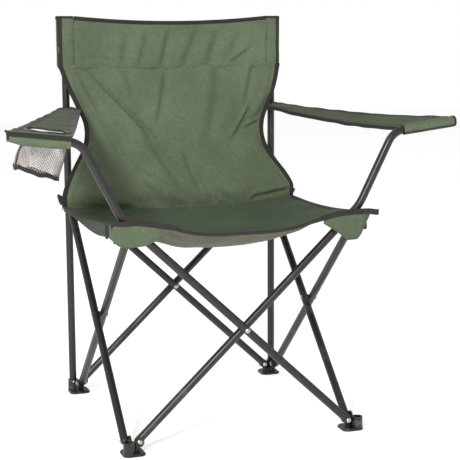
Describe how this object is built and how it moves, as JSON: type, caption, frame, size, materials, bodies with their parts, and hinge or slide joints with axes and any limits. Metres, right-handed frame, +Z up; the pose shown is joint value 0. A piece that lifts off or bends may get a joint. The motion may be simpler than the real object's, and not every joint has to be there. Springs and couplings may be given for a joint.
{
  "type": "folding camp chair",
  "caption": "Folding camp chair with crossed tube legs, cloth sling seat and back, cloth armrests and a net cup holder; it closes into an upright bundle.",
  "frame": {"origin": "on the ground, under the middle of the square of the four feet", "axes": "+Z up, -Y the way the sitter faces, +X to the right as seen from the front"},
  "size_m": [0.9116, 0.512, 0.834],
  "materials": {
    "frame_tube": "satin black powder coat",
    "moulding": "moulded, slightly glossy",
    "tube_plug": "moulded",
    "rivet": "plain dome head",
    "washer": "moulded",
    "back_cloth": "plain woven polyester, matte",
    "seat_cloth": "plain woven polyester, matte",
    "pocket_cloth": "plain woven polyester, matte",
    "armrest_cloth": "plain woven polyester, matte",
    "webbing": "black tape, ribbed",
    "mesh": "open net, light grey",
    "cup_ring": "moulded"
  },
  "bodies": {
    "left_post_side": {"foot_back_left": "moulding", "foot_rivets_back_left": "rivet", "upright_left": "frame_tube", "upright_cap_left": "tube_plug", "back_panel": "back_cloth", "back_sleeve_left": "back_cloth", "arm_collar_left": "moulding"},
    "left_inner_link": {"left_tube_inner": "frame_tube", "left_cross_rivet": "rivet", "left_cross_washer": "washer"},
    "back_outer_link": {"back_tube_outer": "frame_tube", "back_cross_rivet": "rivet", "back_cross_washer": "washer"},
    "back_inner_link": {"back_tube_inner": "frame_tube"},
    "right_post_side": {"foot_back_right": "moulding", "foot_rivets_back_right": "rivet", "upright_right": "frame_tube", "upright_cap_right": "tube_plug", "back_sleeve_right": "back_cloth", "arm_collar_right": "moulding"},
    "left_outer_link": {"left_tube_outer": "frame_tube"},
    "front_left_foot": {"foot_front_left": "moulding", "foot_rivets_front_left": "rivet"},
    "front_right_arm": {"arm_tube_right": "frame_tube", "arm_plug_right": "tube_plug", "arm_sleeve_right": "webbing", "front_cross_rivet": "rivet", "front_cross_washer": "washer"},
    "front_left_arm": {"arm_tube_left": "frame_tube", "arm_plug_left": "tube_plug", "arm_sleeve_left": "webbing"},
    "right_outer_link": {"right_tube_outer": "frame_tube", "right_cross_rivet": "rivet", "right_cross_washer": "washer"},
    "right_inner_link": {"right_tube_inner": "frame_tube"},
    "front_right_foot": {"foot_front_right": "moulding", "foot_rivets_front_right": "rivet"},
    "left_slider": {"slider_left": "moulding", "slider_rivets_left": "rivet", "seat_tab_left": "webbing"},
    "right_slider": {"slider_right": "moulding", "slider_rivets_right": "rivet", "seat_tab_right": "webbing"},
    "left_front_corner": {"front_corner_left": "moulding", "front_corner_rivets_left": "rivet", "seat_pocket_left": "pocket_cloth"},
    "right_front_corner": {"front_corner_right": "moulding", "front_corner_rivets_right": "rivet", "seat_pocket_right": "pocket_cloth"},
    "seat_rear_half": {"seat_rear": "seat_cloth"},
    "seat_front_half": {"seat_front": "seat_cloth"},
    "left_armrest": {"armrest_left": "armrest_cloth", "cup_holder": "mesh", "cup_rim": "cup_ring"},
    "right_armrest": {"armrest_right": "armrest_cloth"}
  },
  "joints": [
    {"name": "fold", "type": "hinge", "parent": "left_post_side", "child": "left_inner_link", "pos_m": [-0.2254, 0.2175, 0.023], "axis": [-1, 0, 0], "range_deg": [0, 42.5], "deforming": ["back_panel"]},
    {"name": "back_outer_foot", "type": "hinge", "parent": "left_post_side", "child": "back_outer_link", "pos_m": [-0.2175, 0.2426, 0.023], "axis": [0, -1, 0], "range_deg": [0, 42.52]},
    {"name": "back_crossing", "type": "hinge", "parent": "back_outer_link", "child": "back_inner_link", "pos_m": [0, 0.2254, 0.2274], "axis": [0, -1, 0], "range_deg": [-85.02, 0]},
    {"name": "back_inner_foot", "type": "hinge", "parent": "back_inner_link", "child": "right_post_side", "pos_m": [0.2175, 0.2254, 0.023], "axis": [0, -1, 0], "range_deg": [0, 42.52]},
    {"name": "left_crossing", "type": "hinge", "parent": "left_inner_link", "child": "left_outer_link", "pos_m": [-0.2426, 0, 0.2274], "axis": [-1, 0, 0], "range_deg": [-85.02, 0]},
    {"name": "left_outer_foot", "type": "hinge", "parent": "left_outer_link", "child": "front_left_foot", "pos_m": [-0.2426, -0.2175, 0.023], "axis": [-1, 0, 0], "range_deg": [0, 42.52]},
    {"name": "right_arm_foot", "type": "hinge", "parent": "front_left_foot", "child": "front_right_arm", "pos_m": [-0.2175, -0.2254, 0.023], "axis": [0, -1, 0], "range_deg": [0, 42.52], "deforming": ["arm_sleeve_right"]},
    {"name": "front_crossing", "type": "hinge", "parent": "front_right_arm", "child": "front_left_arm", "pos_m": [0, -0.2426, 0.2274], "axis": [0, -1, 0], "range_deg": [-85.02, 0], "deforming": ["arm_sleeve_left"]},
    {"name": "right_outer_foot", "type": "hinge", "parent": "right_post_side", "child": "right_outer_link", "pos_m": [0.2426, 0.2175, 0.023], "axis": [-1, 0, 0], "range_deg": [0, 42.52]},
    {"name": "right_crossing", "type": "hinge", "parent": "right_outer_link", "child": "right_inner_link", "pos_m": [0.2254, 0, 0.2274], "axis": [-1, 0, 0], "range_deg": [-85.02, 0]},
    {"name": "right_inner_foot", "type": "hinge", "parent": "right_inner_link", "child": "front_right_foot", "pos_m": [0.2254, -0.2175, 0.023], "axis": [-1, 0, 0], "range_deg": [0, 42.52]},
    {"name": "left_slider_pivot", "type": "hinge", "parent": "back_inner_link", "child": "left_slider", "pos_m": [-0.2175, 0.2254, 0.4318], "axis": [0, -1, 0], "range_deg": [0, 42.52], "deforming": ["seat_tab_left"]},
    {"name": "right_slider_pivot", "type": "hinge", "parent": "back_outer_link", "child": "right_slider", "pos_m": [0.2175, 0.2426, 0.4318], "axis": [0, -1, 0], "range_deg": [-42.52, 0], "deforming": ["seat_tab_right"]},
    {"name": "left_corner_pivot", "type": "hinge", "parent": "left_inner_link", "child": "left_front_corner", "pos_m": [-0.2254, -0.2175, 0.4318], "axis": [-1, 0, 0], "range_deg": [-42.52, 0], "deforming": ["seat_pocket_left"]},
    {"name": "right_corner_pivot", "type": "hinge", "parent": "right_outer_link", "child": "right_front_corner", "pos_m": [0.2426, -0.2175, 0.4318], "axis": [-1, 0, 0], "range_deg": [-42.52, 0], "deforming": ["seat_pocket_right"]},
    {"name": "seat_rear_hang", "type": "hinge", "parent": "left_slider", "child": "seat_rear_half", "pos_m": [0, 0.175, 0.437], "axis": [1, 0, 0], "range_deg": [0, 72.02], "deforming": ["seat_rear"]},
    {"name": "seat_front_hang", "type": "hinge", "parent": "left_front_corner", "child": "seat_front_half", "pos_m": [0, -0.228, 0.437], "axis": [-1, 0, 0], "range_deg": [0, 72.02], "deforming": ["seat_front"]},
    {"name": "left_armrest_lift", "type": "hinge", "parent": "left_post_side", "child": "left_armrest", "pos_m": [-0.2405, 0.232, 0.64], "axis": [-0.9305, 0.3123, 0.1913], "range_deg": [0, 77.59], "deforming": ["armrest_left", "cup_holder", "cup_rim"]},
    {"name": "right_armrest_lift", "type": "hinge", "parent": "right_post_side", "child": "right_armrest", "pos_m": [0.2405, 0.232, 0.64], "axis": [-0.9384, -0.2729, -0.2122], "range_deg": [0, 81.59], "deforming": ["armrest_right"]}
  ],
  "couplings": [
    {"joint": "back_outer_foot", "follows": "fold", "ratio": 1},
    {"joint": "back_crossing", "follows": "fold", "ratio": -2},
    {"joint": "back_inner_foot", "follows": "fold", "ratio": 1},
    {"joint": "left_crossing", "follows": "fold", "ratio": -2},
    {"joint": "left_outer_foot", "follows": "fold", "ratio": 1},
    {"joint": "right_arm_foot", "follows": "fold", "ratio": 1},
    {"joint": "front_crossing", "follows": "fold", "ratio": -2},
    {"joint": "right_outer_foot", "follows": "fold", "ratio": 1},
    {"joint": "right_crossing", "follows": "fold", "ratio": -2},
    {"joint": "right_inner_foot", "follows": "fold", "ratio": 1},
    {"joint": "left_slider_pivot", "follows": "fold", "ratio": 1},
    {"joint": "right_slider_pivot", "follows": "fold", "ratio": -1},
    {"joint": "left_corner_pivot", "follows": "fold", "ratio": -1},
    {"joint": "right_corner_pivot", "follows": "fold", "ratio": -1},
    {"joint": "seat_rear_hang", "follows": "fold", "ratio": 1.694},
    {"joint": "seat_front_hang", "follows": "fold", "ratio": 1.694},
    {"joint": "left_armrest_lift", "follows": "fold", "ratio": 1.8253},
    {"joint": "right_armrest_lift", "follows": "fold", "ratio": 1.9193}
  ]
}
